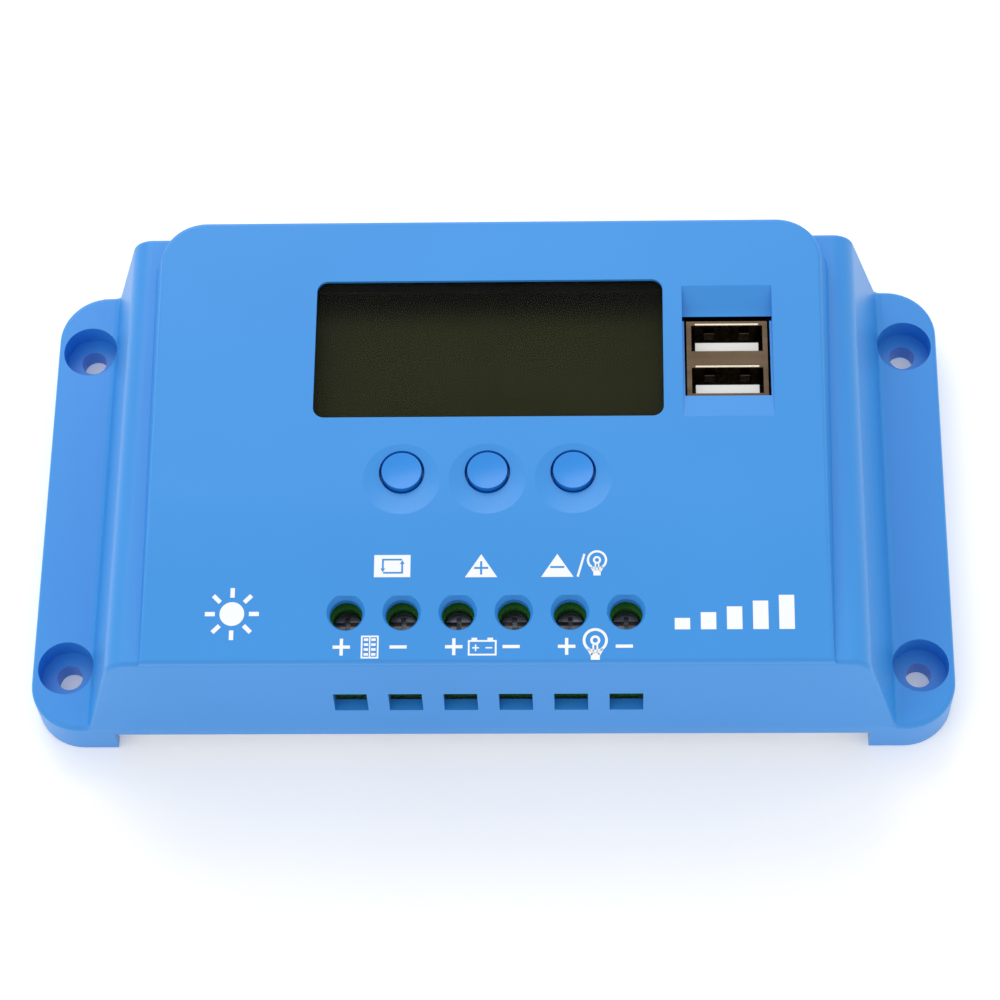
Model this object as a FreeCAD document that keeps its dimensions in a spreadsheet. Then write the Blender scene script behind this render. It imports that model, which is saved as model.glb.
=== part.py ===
"""Solar charge controller: a plastic cover with mounting flanges over a folded aluminium pan, a main
board with rising-cage wire terminals, and a display board with the liquid crystal display, three buttons
and two USB sockets.

Lengths are millimetres. The origin is the middle of the footprint on the mounting surface: +X to the right,
+Y away from the terminals, +Z out of the face.
"""
import FreeCAD, Part
import math
import os

import Sketcher
from FreeCAD import Placement, Rotation, Vector

os.makedirs("parts", exist_ok=True)
doc = FreeCAD.newDocument("charge_controller")
sheet = doc.addObject("Spreadsheet::Sheet", "Dims")
nodes = []


# ---------------------------------------------------------------- driving dimensions

class Size:
    """A length with its value and the spreadsheet formula that gives it."""

    def __init__(self, number, text):
        self.number = float(number)
        self.text = text

    def __add__(self, other):
        other = size(other)
        return Size(self.number + other.number, f"({self.text} + {other.text})")

    def __sub__(self, other):
        other = size(other)
        return Size(self.number - other.number, f"({self.text} - {other.text})")

    def __mul__(self, other):
        other = size(other)
        return Size(self.number * other.number, f"({self.text} * {other.text})")

    def __truediv__(self, other):
        other = size(other)
        return Size(self.number / other.number, f"({self.text} / {other.text})")

    def __neg__(self):
        return self * -1

    def __radd__(self, other):
        return size(other) + self

    def __rsub__(self, other):
        return size(other) - self

    def __rmul__(self, other):
        return self * other


def size(value):
    """A plain number as a Size; a Size as it is."""
    return value if isinstance(value, Size) else Size(value, f"({float(value)})")


class Dims:
    """The spreadsheet's cells by name."""


dims = Dims()
next_row = 1


def keep(**cells):
    """Write a group of driving dimensions to the sheet, one named cell a row."""
    global next_row
    for name, value in cells.items():
        sheet.set(f"A{next_row}", name)
        sheet.set(f"B{next_row}", str(value))
        sheet.setAlias(f"B{next_row}", name)
        setattr(dims, name, Size(value, f"Dims.{name}"))
        next_row += 1


# cover: flanges, tapered box and the raised plate that slopes down to the terminals
keep(case_width=163, case_depth=87.4, flange_height=8.5, flange_corner=9, flange_edge=0.8,
     foot_width=141.4, shoulder_width=128.6, shoulder_height=32, top_front=41.5, top_back=42.2,
     shoulder_round=4.0, foot_round=1.6,
     crest_width=117.1, plate_front=32.8, bend_place=-18.1, plate_bend=35.4, bend_round=160, plate_back=37.6,
     plate_root=26, plate_flare=0.32, plate_corner=7.5, crest_round=0.7,
     wall=2.0, roof=2.2, sill_height=6, sill_width=133)
# mounting holes, screw bosses and the pan
keep(hole_across=151, hole_along=64, mount_hole=4.6, mount_bore=10, mount_floor=4,
     boss_across=120, boss_along=68, boss_wide=7, boss_hole=2.5,
     pan_width=136, pan_depth=82, pan_sheet=2, pan_lip=9.5, pan_bend=2.5,
     rib_pocket_depth=6.3, rib_pocket_wide=6.4, rib_pocket_long=9.5, rib_pitch=11.5)
# boards
keep(board_sheet=1.6, main_low=8, main_width=111, main_depth=77, stud_across=102, stud_along=68, stud_wide=6,
     panel_low=24.6, panel_left=-38, panel_right=34.4, panel_front=-13, panel_rear=39.5,
     panel_screw_front=-9, panel_screw_rear=36.8, panel_screw_side=-35.2, panel_screw_other=31.2,
     usb_low=15.7)
# display
keep(view_width=61.1, view_depth=26.7, view_place=16.7, view_corner=2, lens_lip=0.6, lens_width=65.4,
     lens_depth=30.4,
     lens_sheet=1.0, glass_width=64, glass_depth=31, glass_sheet=2.8, light_sheet=3.0, frame_wall=0.9,
     frame_lip=0.6)
# buttons and tactile switches
keep(button_pitch=14.8, button_place=-6.9, button_hole=7.9, button_wide=6.9, button_top=35.9,
     button_skirt=8.7, skirt_low=32.2, skirt_high=33.1, stem_wide=4, button_dish=0.45,
     dish_radius=26, dish_depth=0.85, dish_shift=2.5, guide_wide=11.4, guide_hole=9.3, guide_low=31.2,
     switch_side=6, switch_case=3.1, switch_lid=0.4, plunger_wide=3.4, plunger_hole=3.5, plunger_top=30.5,
     plunger_foot=28.0)
# wire terminals
keep(pole_pitch=9.5, pole_place=-32.9, driver_hole=5.6, driver_bevel=0.35, wire_wide=5.8, wire_tall=5.9,
     wire_low=15.4, block_width=57.5, block_depth=12.2, block_top=30.2, nose_front=-40.2, nose_top=21.8,
     cage_wide=6.6, cage_deep=6.0, cage_low=14.3, cage_top=23.8, cage_side=0.9, cage_roof=1.4,
     cell_gap=0.2, cell_top=26.75, ledge=0.6, ledge_hole=4.0, head_well=5.0,
     head_wide=4.4, head_low=27.4, head_high=29.0, shank_wide=3.4, thread_hole=3.5, shank_low=22.6,
     drive_slot=0.8, bar_wide=4.4, bar_low=21.1, bar_sheet=1.2, bar_front=-36.0, bar_rear=-27.6)
# USB sockets
keep(usb_across=41.8, usb_along=15.4, usb_window=15.0, usb_window_long=15.7, usb_mouth=34.3,
     port_wide=12.5, port_deep=5.12, port_pitch=8.4, shell_sheet=0.35, port_length=12.5,
     tongue_wide=11.1, tongue_sheet=1.9, tongue_tip=33.0, scoop_rear=28.7, scoop_knee=24.0, scoop_front=3.2,
     scoop_wide=15.8, scoop_drop=2.5)


# ---------------------------------------------------------------- modelling helpers

def bind(thing, **formulas):
    """Bind properties of an object to the sheet; double underscores stand for the dots of a path."""
    for prop, value in formulas.items():
        thing.setExpression(prop.replace("__", "."), size(value).text)


def at(thing, x=0, y=0, z=0):
    bind(thing, Placement__Base__x=x, Placement__Base__y=y, Placement__Base__z=z)
    return thing


def box(name, width, depth, low, high, x=0, y=0):
    """A box centred on x, y that stands from low to high."""
    solid = doc.addObject("Part::Box", name)
    bind(solid, Length=width, Width=depth, Height=size(high) - low)
    return at(solid, size(x) - size(width) / 2, size(y) - size(depth) / 2, low)


def rod(name, wide, low, high, x=0, y=0):
    """An upright cylinder of diameter wide."""
    solid = doc.addObject("Part::Cylinder", name)
    bind(solid, Radius=size(wide) / 2, Height=size(high) - low)
    return at(solid, x, y, low)


def cone(name, wide_low, wide_high, low, high, x=0, y=0):
    solid = doc.addObject("Part::Cone", name)
    bind(solid, Radius1=size(wide_low) / 2, Radius2=size(wide_high) / 2, Height=size(high) - low)
    return at(solid, x, y, low)


def fuse(name, *solids):
    joined = doc.addObject("Part::MultiFuse", name)
    joined.Shapes = list(solids)
    joined.Refine = True
    return joined


def group(name, *solids):
    """Separate solids that share one node."""
    several = doc.addObject("Part::Compound", name)
    several.Links = list(solids)
    return several


def cut(name, base, *tools):
    result = doc.addObject("Part::Cut", name)
    result.Base = base
    result.Tool = tools[0] if len(tools) == 1 else group(name + "_tools", *tools)
    return result


def node(thing, label):
    """Name a finished sub-part; the label is its file's name."""
    thing.Label = label
    nodes.append(thing)
    return thing


def plane(body, role):
    return next(feature for feature in body.Origin.OriginFeatures if feature.Role == role)


def drawing(body, name, role, height=0):
    """A sketch on one of the body's origin planes, moved along the plane's normal."""
    sketch = body.newObject("Sketcher::SketchObject", name)
    sketch.AttachmentSupport = [(plane(body, role), "")]
    sketch.MapMode = "FlatFace"
    bind(sketch, AttachmentOffset__Base__z=height)
    return sketch


def pin_point(sketch, geometry, point, place, name):
    """Fix one point of a sketch at a place bound to the sheet."""
    for axis, value in zip("XY", place):
        value = size(value)
        index = sketch.addConstraint(
            Sketcher.Constraint("Distance" + axis, -1, 1, geometry, point, value.number))
        sketch.renameConstraint(index, f"{name}_{axis}")
        sketch.setExpression(f"Constraints.{name}_{axis}", value.text)


def outline(sketch, points):
    """A closed outline of straight sides through the points."""
    places = [(size(x), size(y)) for x, y in points]
    flat = [Vector(x.number, y.number, 0) for x, y in places]
    sides = [sketch.addGeometry(Part.LineSegment(a, b), False) for a, b in zip(flat, flat[1:] + flat[:1])]
    for this, after in zip(sides, sides[1:] + sides[:1]):
        sketch.addConstraint(Sketcher.Constraint("Coincident", this, 2, after, 1))
    for index, (side, place) in enumerate(zip(sides, places)):
        pin_point(sketch, side, 1, place, f"corner_{index}")
    return sketch


def rectangle(sketch, width, low, high):
    half = size(width) / 2
    return outline(sketch, [(-half, low), (half, low), (half, high), (-half, high)])


def pad(body, sketch, length, name):
    feature = body.newObject("PartDesign::Pad", name)
    feature.Profile = sketch
    bind(feature, Length=length)
    return feature


def tapered_box(body, name, foot, head, low, high):
    """A box that narrows upward; foot and head are each its width and its reach to the front and the rear."""
    feature = body.newObject("PartDesign::AdditiveWedge", name)
    feature.Placement = Placement(Vector(0, 0, 0), Rotation(Vector(1, 0, 0), 90))
    bind(feature, Placement__Base__z=low, Ymin=0, Ymax=high - low,
         Xmin=-foot[0] / 2, Xmax=foot[0] / 2, Zmin=-foot[2], Zmax=foot[1],
         X2min=-head[0] / 2, X2max=head[0] / 2, Z2min=-head[2], Z2max=head[1])
    return feature


def edges_where(shape, chosen):
    """Names of the edges whose middle point and direction satisfy a test."""
    found = []
    for index, edge in enumerate(shape.Edges):
        middle = edge.valueAt((edge.FirstParameter + edge.LastParameter) / 2)
        along = edge.tangentAt((edge.FirstParameter + edge.LastParameter) / 2)
        if chosen(middle, along):
            found.append(f"Edge{index + 1}")
    return found


def round_edges(body, base, radius, name, chosen):
    """Fillet the edges of the body that a test picks."""
    doc.recompute()
    feature = body.newObject("PartDesign::Fillet", name)
    feature.Base = (base, edges_where(base.Shape, chosen))
    bind(feature, Radius=radius)
    return feature


# ---------------------------------------------------------------- top cover

def side_run(x, z, tolerance=0.6):
    """Test for an edge that runs front to back at about x, z on either side."""
    return lambda middle, along: (abs(along.y) > 0.95 and abs(abs(middle.x) - x) < tolerance
                                  and abs(middle.z - z) < tolerance)


def housing_body():
    """The flanged slab and the tapered box over it, solid."""
    body = doc.addObject("PartDesign::Body", "Housing")
    slab = rectangle(drawing(body, "FlangeOutline", "XY_Plane"), dims.case_width,
                     -dims.case_depth / 2, dims.case_depth / 2)
    flanges = pad(body, slab, dims.flange_height, "Flanges")
    round_edges(body, flanges, dims.flange_corner, "FlangeCorners", lambda middle, along: abs(along.z) > 0.99)
    tower = tapered_box(body, "TaperedBox", (dims.foot_width, dims.case_depth / 2, dims.case_depth / 2),
                        (dims.shoulder_width, dims.top_front, dims.top_back), dims.flange_height,
                        dims.shoulder_height)
    doc.recompute()
    foot_x = dims.foot_width.number / 2
    rim_z = dims.flange_height.number
    feet = round_edges(body, tower, dims.foot_round, "FootFillets", side_run(foot_x, rim_z))
    shoulders = round_edges(body, feet, dims.shoulder_round, "ShoulderRounds",
                            side_run(dims.shoulder_width.number / 2, dims.shoulder_height.number))
    round_edges(body, shoulders, dims.flange_edge, "FlangeRims",
                lambda middle, along: abs(middle.z - rim_z) < 0.05 and abs(middle.x) > foot_x + 2.0)
    return body


def rounded(name, base, radius, chosen):
    """A Part fillet of the edges that a test picks."""
    doc.recompute()
    result = doc.addObject("Part::Fillet", name)
    result.Base = base
    result.Edges = [(int(edge[4:]), radius.number, radius.number) for edge in edges_where(base.Shape, chosen)]
    return result


def plate_profile(body, name, drop, front, rear):
    """The plate's side view between two places, its top lowered by drop; it is drawn on the middle plane."""
    sketch = drawing(body, name, "YZ_Plane", -dims.case_width / 2)
    low = dims.plate_root
    return outline(sketch, [(front, low), (rear, low), (rear, plate_height(rear) - drop),
                            (dims.bend_place, dims.plate_bend - drop), (front, plate_height(front) - drop)])


def side_wedge(name, side, inset):
    """A big box whose inner face is the flared side of the plate; cutting with it leaves that side."""
    flare = dims.plate_flare.number
    spread = flare * (dims.plate_back.number - dims.plate_front.number) / (
        dims.top_back.number + dims.top_front.number)
    normal = Vector(side, -spread, flare)
    turn = Rotation(Vector(1, 0, 0), normal)
    wedge = doc.addObject("Part::Box", name)
    bind(wedge, Length=40, Width=200, Height=80)
    crest = side * (dims.crest_width.number / 2 - inset)
    corner = Vector(crest, dims.top_back.number, dims.plate_back.number)
    wedge.Placement = Placement(corner, turn) * Placement(Vector(0, -100, -40), Rotation())
    return wedge


def plate_solid():
    """The raised plate: two gentle slopes, low at the terminals and high at the back, with flared sides."""
    body = doc.addObject("PartDesign::Body", "PlateSlab")
    profile = plate_profile(body, "PlateProfile", 0, -dims.top_front, dims.top_back)
    rear_top = 2
    front_top = 3
    on_rear = Vector(0, plate_height(0).number, 0)
    on_front = Vector(-30, plate_height(-30).number, 0)
    profile.fillet(rear_top, front_top, on_rear, on_front, dims.bend_round.number, True, True)
    pad(body, profile, dims.case_width, "PlatePad")
    slope = cut("SlopedPlate", body, side_wedge("PlateLeft", -1, 0), side_wedge("PlateRight", 1, 0))
    rear = dims.top_back.number
    corners = rounded("PlateCorners", slope, dims.plate_corner,
                      lambda middle, along: abs(middle.y - rear) < 0.1 and abs(along.z) > 0.9)
    low = dims.plate_front.number - 0.1
    front = dims.top_front.number
    return rounded("CrestRounds", corners, dims.crest_round,
                   lambda middle, along: middle.z > low and (abs(middle.x) > 50 or abs(middle.y - rear) < 1.0
                                                             or abs(middle.y + front) < 0.1))


def hollow():
    """The room inside the cover: under the flanks, and under the plate."""
    body = doc.addObject("PartDesign::Body", "Room")
    inset = dims.wall * 2
    floor = rectangle(drawing(body, "RoomFloor", "XY_Plane", -1), dims.foot_width - inset,
                      -dims.case_depth / 2 + dims.wall, dims.case_depth / 2 - dims.wall)
    lower = pad(body, floor, dims.flange_height + 1, "LowerRoom")
    half_depth = dims.case_depth / 2 - dims.wall
    upper = tapered_box(body, "UpperRoom", (dims.foot_width - inset, half_depth, half_depth),
                        (dims.shoulder_width - inset, dims.top_front - dims.wall, dims.top_back - dims.wall),
                        dims.flange_height, dims.shoulder_height - dims.roof)
    side = dims.shoulder_width.number / 2 - dims.wall.number
    top = dims.shoulder_height.number - dims.roof.number
    round_edges(body, upper, dims.shoulder_round - dims.wall / 2, "RoomRounds", side_run(side, top))
    return body


def plate_hollow():
    """The room under the plate, open below to the rest of the room."""
    body = doc.addObject("PartDesign::Body", "PlateRoomSlab")
    ends = dims.wall + 0.3
    sketch = plate_profile(body, "PlateRoomProfile", dims.roof, -dims.top_front + ends, dims.top_back - ends)
    pad(body, sketch, dims.case_width, "PlateRoomPad")
    inset = dims.wall.number
    keeper = box("PlateRoomKeeper", dims.case_width + 2, dims.case_depth + 20, dims.plate_root - 1,
                 dims.shoulder_height - 4)
    sides = [side_wedge("RoomLeft", -1, inset), side_wedge("RoomRight", 1, inset)]
    slope = cut("PlateRoom", body, *sides, keeper)
    rear = dims.top_back.number - 3
    return rounded("RoomCorners", slope, dims.plate_corner - dims.wall,
                   lambda middle, along: abs(along.z) > 0.9 and middle.y > rear)


def four(name, shape_of, across, along):
    """Four copies at the corners of a rectangle, made by shape_of(name, x, y)."""
    return [shape_of(f"{name}{index}", across / 2 * sx, along / 2 * sy)
            for index, (sx, sy) in enumerate(((-1, -1), (1, -1), (-1, 1), (1, 1)))]


def plate_height(y):
    """Height of the plate's face at y, as a Size."""
    y = size(y)
    if y.number < dims.bend_place.number:
        rise = (dims.plate_bend - dims.plate_front) / (dims.bend_place + dims.top_front)
        return dims.plate_front + rise * (y + dims.top_front)
    rise = (dims.plate_back - dims.plate_bend) / (dims.top_back - dims.bend_place)
    return dims.plate_bend + rise * (y - dims.bend_place)


def pole_places():
    return [dims.pole_pitch * (index - 2.5) for index in range(6)]


def button_places():
    return [dims.button_pitch * (index - 1) for index in range(3)]


def panel_screw_places():
    return [(x, y) for x in (dims.panel_screw_side, dims.panel_screw_other)
            for y in (dims.panel_screw_front, dims.panel_screw_rear)]


def view_window():
    """The rounded opening over the display."""
    body = doc.addObject("PartDesign::Body", "ViewWindow")
    sketch = rectangle(drawing(body, "ViewOutline", "XY_Plane", 25), dims.view_width,
                       dims.view_place - dims.view_depth / 2, dims.view_place + dims.view_depth / 2)
    prism = pad(body, sketch, 20, "ViewPrism")
    round_edges(body, prism, dims.view_corner, "ViewCorners", lambda middle, along: abs(along.z) > 0.99)
    return body


def lens_slab(name, width, depth, drop, height):
    """A slab parallel to the plate's rear slope, centred on the display, its underside drop below the face."""
    slab = doc.addObject("Part::Box", name)
    bind(slab, Length=width, Width=depth, Height=height)
    rise = (dims.plate_back.number - dims.plate_bend.number) / (dims.top_back.number - dims.bend_place.number)
    slab.Placement = Placement(Vector(0, 0, 0), Rotation(Vector(1, 0, 0), math.degrees(math.atan(rise))))
    front = dims.view_place - size(depth) / 2
    return at(slab, -size(width) / 2, front, plate_height(front) - drop)


def usb_scoop():
    """The finger scoop that runs down to the USB sockets: steep at the back, gentle at the front."""
    body = doc.addObject("PartDesign::Body", "Scoop")
    sketch = drawing(body, "ScoopProfile", "YZ_Plane", dims.usb_across - dims.scoop_wide / 2)
    rear = plate_height(dims.scoop_rear)
    outline(sketch, [(dims.scoop_front, plate_height(dims.scoop_front)),
                     (dims.scoop_knee, rear - dims.scoop_drop),
                     (dims.scoop_rear, rear),
                     (dims.scoop_rear, rear + 5), (dims.scoop_front, rear + 5)])
    prism = pad(body, sketch, dims.scoop_wide, "ScoopPrism")
    knee = dims.scoop_knee.number
    round_edges(body, prism, 4, "ScoopKnee",
                lambda middle, along: abs(along.x) > 0.99 and abs(middle.y - knee) < 0.05)
    return body


def button_dishes():
    """Shallow spherical dishes that guide a finger to each button."""
    dishes = []
    for index, x in enumerate(button_places()):
        y = dims.button_place - dims.dish_shift
        ball = doc.addObject("Part::Sphere", f"Dish{index}")
        bind(ball, Radius=dims.dish_radius)
        at(ball, x, y, plate_height(y) - dims.dish_depth + dims.dish_radius)
        dishes.append(ball)
    return dishes


def mounting_holes():
    tools = four("MountHole", lambda name, x, y: rod(name, dims.mount_hole, -1, 12, x, y),
                 dims.hole_across, dims.hole_along)
    tools += four("MountBore", lambda name, x, y: rod(name, dims.mount_bore, dims.mount_floor, 24, x, y),
                  dims.hole_across, dims.hole_along)
    return tools


def rib_pockets():
    """Cored-out pockets under the flanges, with ribs left between them."""
    middle = (dims.case_width + dims.foot_width) / 4
    pockets = []
    for side in (-1, 1):
        for index in range(4):
            pockets.append(box(f"RibPocket{side + 1}{index}", dims.rib_pocket_wide, dims.rib_pocket_long,
                               -1, dims.rib_pocket_depth, middle * side, dims.rib_pitch * (index - 1.5)))
    return pockets


def top_cover():
    shell = cut("Shell", fuse("Outside", housing_body(), plate_solid()), hollow(), plate_hollow())
    bosses = four("Boss", lambda name, x, y: rod(name, dims.boss_wide, dims.pan_sheet,
                                                 dims.shoulder_height - 1, x, y),
                  dims.boss_across, dims.boss_along)
    guides = [rod(f"Guide{index}", dims.guide_wide, dims.guide_low, dims.plate_bend - 0.6, x,
                  dims.button_place) for index, x in enumerate(button_places())]
    posts = [rod(f"PanelPost{index}", 6, dims.panel_low + dims.board_sheet, plate_height(y) - 1, x, y)
             for index, (x, y) in enumerate(panel_screw_places())]
    tools = four("BossHole", lambda name, x, y: rod(name, dims.boss_hole, -1, 16, x, y),
                 dims.boss_across, dims.boss_along)
    tools += [rod(f"PostHole{index}", 1.6, 20, plate_height(y) - dims.roof - 0.6, x, y)
              for index, (x, y) in enumerate(panel_screw_places())]
    for index, x in enumerate(button_places()):
        tools.append(rod(f"ButtonHole{index}", dims.button_hole, 25, 42, x, dims.button_place))
        tools.append(rod(f"GuideHole{index}", dims.guide_hole, 25, dims.skirt_high + 0.1, x,
                         dims.button_place))
    face = plate_height(dims.pole_place)
    for index, x in enumerate(pole_places()):
        tools.append(rod(f"DriverHole{index}", dims.driver_hole, 25, 42, x, dims.pole_place))
        tools.append(cone(f"DriverBevel{index}", dims.driver_hole, dims.driver_hole + 4 * dims.driver_bevel,
                          face - 2 * dims.driver_bevel, face + dims.driver_bevel, x, dims.pole_place))
        tools.append(box(f"WireSlot{index}", dims.wire_wide, 8, dims.wire_low, dims.wire_low + dims.wire_tall,
                         x, -dims.case_depth / 2))
    for side in (-1, 1):
        tools.append(box(f"Sill{side + 1}", dims.sill_width, 8, -1, dims.sill_height, 0,
                         (dims.case_depth / 2) * side))
    tools.append(box("UsbWindow", dims.usb_window, dims.usb_window_long, 25, 42, dims.usb_across,
                     dims.usb_along - 0.2))
    tools.append(lens_slab("LensPocket", dims.lens_width + 0.4, dims.lens_depth + 0.4, 4, 4 - dims.lens_lip))
    tools += button_dishes() + mounting_holes() + rib_pockets() + [view_window(), usb_scoop()]
    return cut("TopCover", fuse("ShellWithPosts", shell, *bosses, *guides, *posts), *tools)


node(top_cover(), "top_cover")


# ---------------------------------------------------------------- base pan and its screws

def base_pan():
    """A folded aluminium pan: the heat sink, with lips turned up behind the front and back walls."""
    body = doc.addObject("PartDesign::Body", "Pan")
    half = dims.pan_depth / 2
    sheet_gap = half - dims.pan_sheet
    sketch = drawing(body, "PanProfile", "YZ_Plane", -dims.pan_width / 2)
    outline(sketch, [(-half, 0), (half, 0), (half, dims.pan_lip), (sheet_gap, dims.pan_lip),
                     (sheet_gap, dims.pan_sheet), (-sheet_gap, dims.pan_sheet), (-sheet_gap, dims.pan_lip),
                     (-half, dims.pan_lip)])
    fold = pad(body, sketch, dims.pan_width, "PanFold")
    outer = half.number
    round_edges(body, fold, dims.pan_bend, "PanBends",
                lambda middle, along: abs(along.x) > 0.99 and middle.z < 0.1 and abs(middle.y) > outer - 0.1)
    tools = four("PanHole", lambda name, x, y: rod(name, 3.4, -1, 3, x, y), dims.boss_across, dims.boss_along)
    tools += four("PanSink", lambda name, x, y: cone(name, 6.6, 3.4, 0, 1.6, x, y),
                  dims.boss_across, dims.boss_along)
    return cut("BasePan", body, *tools)


def countersunk_screw(name, x, y):
    head = cone(name + "Head", 6.2, 2.9, 0.05, 1.7, x, y)
    shank = rod(name + "Shank", 2.5, 1.6, 10, x, y)
    drive = [box(f"{name}Drive{turn}", *((2.6, 0.6) if turn else (0.6, 2.6)), -0.5, 0.9, x, y)
             for turn in range(2)]
    return cut(name, fuse(name + "Body", head, shank), *drive)


def cheese_screw(name, x, y, seat, length, wide=2.0):
    """A board screw whose head sits on the height seat and whose shank points down."""
    head = rod(name + "Head", 2 * wide, seat, seat + 0.7 * wide, x, y)
    shank = rod(name + "Shank", wide, seat - length, seat, x, y)
    drive = [box(f"{name}Drive{turn}", *((1.2 * wide, 0.5) if turn else (0.5, 1.2 * wide)),
                 seat + 0.4 * wide, seat + wide, x, y) for turn in range(2)]
    return cut(name, fuse(name + "Body", head, shank), *drive)


node(base_pan(), "base_pan")
node(group("CoverScrews", *four("CoverScrew", countersunk_screw, dims.boss_across, dims.boss_along)),
     "cover_screws")


# ---------------------------------------------------------------- main board and what stands on it

main_top = dims.main_low + dims.board_sheet
panel_top = dims.panel_low + dims.board_sheet
usb_top = dims.usb_low + dims.board_sheet
pole_legs = [(x + side, dims.bar_rear - dims.bar_sheet / 2) for x in pole_places() for side in (-1.4, 1.4)]
transistor_places = [14 * (index - 2.5) for index in range(6)]
lead_row = -15.25
lead_places = [(x + 2.54 * (pin - 1), lead_row) for x in transistor_places for pin in range(3)]
link_places = [(8 + 2.54 * (index - 4.5), -11.9) for index in range(10)]
usb_link_places = [(dims.usb_across + 2.54 * (index - 2), 6.2) for index in range(5)]
display_pin_row = dims.view_place + dims.glass_depth / 2 - 0.4
display_pin_places = [(2.0 * (index - 11.5), display_pin_row) for index in range(24)]
switch_leg_places = [(x + 3.15 * sx, dims.button_place + 2.25 * sy)
                     for x in button_places() for sx in (-1, 1) for sy in (-1, 1)]


def pin_holes(name, places, wide, low, high):
    """Drilled holes for a row of pins, a little wider than the pins are from corner to corner."""
    return [rod(f"{name}{index}", wide, low - 1, high + 1, x, y) for index, (x, y) in enumerate(places)]


def main_board():
    tools = four("StudHole", lambda name, x, y: rod(name, 3.2, 5, 12, x, y),
                 dims.stud_across, dims.stud_along)
    tools += pin_holes("LegHole", pole_legs, 1.6, dims.main_low, main_top)
    tools += pin_holes("LeadHole", lead_places, 1.1, dims.main_low, main_top)
    tools += pin_holes("LinkHole", link_places, 1.1, dims.main_low, main_top)
    tools += pin_holes("UsbLinkHole", usb_link_places, 1.1, dims.main_low, main_top)
    blank = box("MainBlank", dims.main_width, dims.main_depth, dims.main_low, main_top)
    return cut("MainBoard", blank, *tools)


def stud(name, x, y):
    return cut(name, rod(name + "Post", dims.stud_wide, dims.pan_sheet, dims.main_low, x, y),
               rod(name + "Bore", 2.6, dims.pan_sheet + 1, 12, x, y))


def stud_screw(name, x, y):
    return cheese_screw(name, x, y, main_top, 5.5, 2.6)


node(main_board(), "main_board")
node(group("Studs", *four("Stud", stud, dims.stud_across, dims.stud_along)), "board_studs")
node(group("StudScrews", *four("StudScrew", stud_screw, dims.stud_across, dims.stud_along)),
     "main_board_screws")

# power transistors lie under the board, pressed on the pan by one bar
pad_top = dims.pan_sheet + 0.3


def transistor_case(index, x):
    return box(f"TransistorCase{index}", 10, 9, pad_top, pad_top + 4.4, x, -8)


def transistor_tab(index, x):
    tab = box(f"TabPlate{index}", 10, 6.2, pad_top, pad_top + 1.3, x, -0.4)
    return cut(f"TransistorTab{index}", tab, rod(f"TabHole{index}", 3.6, 0, 9, x, 0.4))


def transistor_leads(index, x):
    leads = []
    for pin in range(3):
        along = 2.54 * (pin - 1) + x
        foot = box(f"LeadFoot{index}{pin}", 0.7, 3, pad_top + 2.2, pad_top + 2.7, along, -14)
        rise = box(f"LeadRise{index}{pin}", 0.7, 0.5, pad_top + 2.2, main_top + 0.8, along, lead_row)
        leads.append(fuse(f"Lead{index}{pin}", foot, rise))
    return leads


node(box("ThermalPad", 84, 18, dims.pan_sheet, pad_top, 0, -5), "thermal_pad")
node(group("TransistorCases", *[transistor_case(i, x) for i, x in enumerate(transistor_places)]),
     "power_transistors")
node(group("TransistorTabs", *[transistor_tab(i, x) for i, x in enumerate(transistor_places)]),
     "transistor_tabs")
node(group("TransistorLeads", *[lead for i, x in enumerate(transistor_places)
                                for lead in transistor_leads(i, x)]), "transistor_leads")
node(box("ClampBar", 96, 6, pad_top + 4.4, main_top - 2.1, 0, -8), "clamp_bar")
node(group("ClampPosts", *[rod(f"ClampPost{i}", 4.5, dims.pan_sheet, pad_top + 4.4, x, -8)
                           for i, x in enumerate((-45.4, 45.4))]), "clamp_posts")


def capacitor(name, wide, tall, x, y):
    return rod(name + "Sleeve", wide, main_top + 0.2, main_top + tall, x, y)


def capacitor_top(name, wide, tall, x, y):
    lid = rod(name + "Lid", wide - 1.2, main_top + tall, main_top + tall + 0.3, x, y)
    vents = [box(f"{name}Vent{turn}", *((wide, 0.4) if turn else (0.4, wide)),
                 main_top + tall + 0.15, main_top + tall + 1, x, y) for turn in range(2)]
    return cut(name + "Top", lid, *vents)


capacitors = [("CapLeft", 12.5, 20, -47, 4), ("CapRear", 12.5, 20, -47, 18.5), ("CapNear", 10, 16, 44.5, -9),
              ("CapFront", 10, 16, 44.5, -21)]
node(group("CapacitorSleeves", *[capacitor(*place) for place in capacitors]), "capacitor_sleeves")
node(group("CapacitorTops", *[capacitor_top(*place) for place in capacitors]), "capacitor_tops")

# the charging choke: a ring core with a copper winding
choke_x = -18
choke_y = 24


def ring(name, inner, outer, low, high, x, y):
    return cut(name, rod(name + "Outer", outer, low, high, x, y),
               rod(name + "Inner", inner, low - 1, high + 1, x, y))


def choke_turns():
    turns = []
    for index in range(16):
        angle = math.radians(22.5 * index)
        loop = doc.addObject("Part::Torus", f"Turn{index}")
        bind(loop, Radius1=3.95, Radius2=0.4)
        loop.Placement = Placement(Vector(0, 0, 0), Rotation(math.degrees(angle), 0, 90))
        at(loop, choke_x + 6.75 * math.cos(angle), choke_y + 6.75 * math.sin(angle), main_top + 5.8)
        turns.append(loop)
    return turns


node(ring("ChokeCore", 9.6, 17.4, main_top + 3.0, main_top + 8.6, choke_x, choke_y), "choke_core")
node(group("ChokeWinding", *choke_turns()), "choke_winding")


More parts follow.
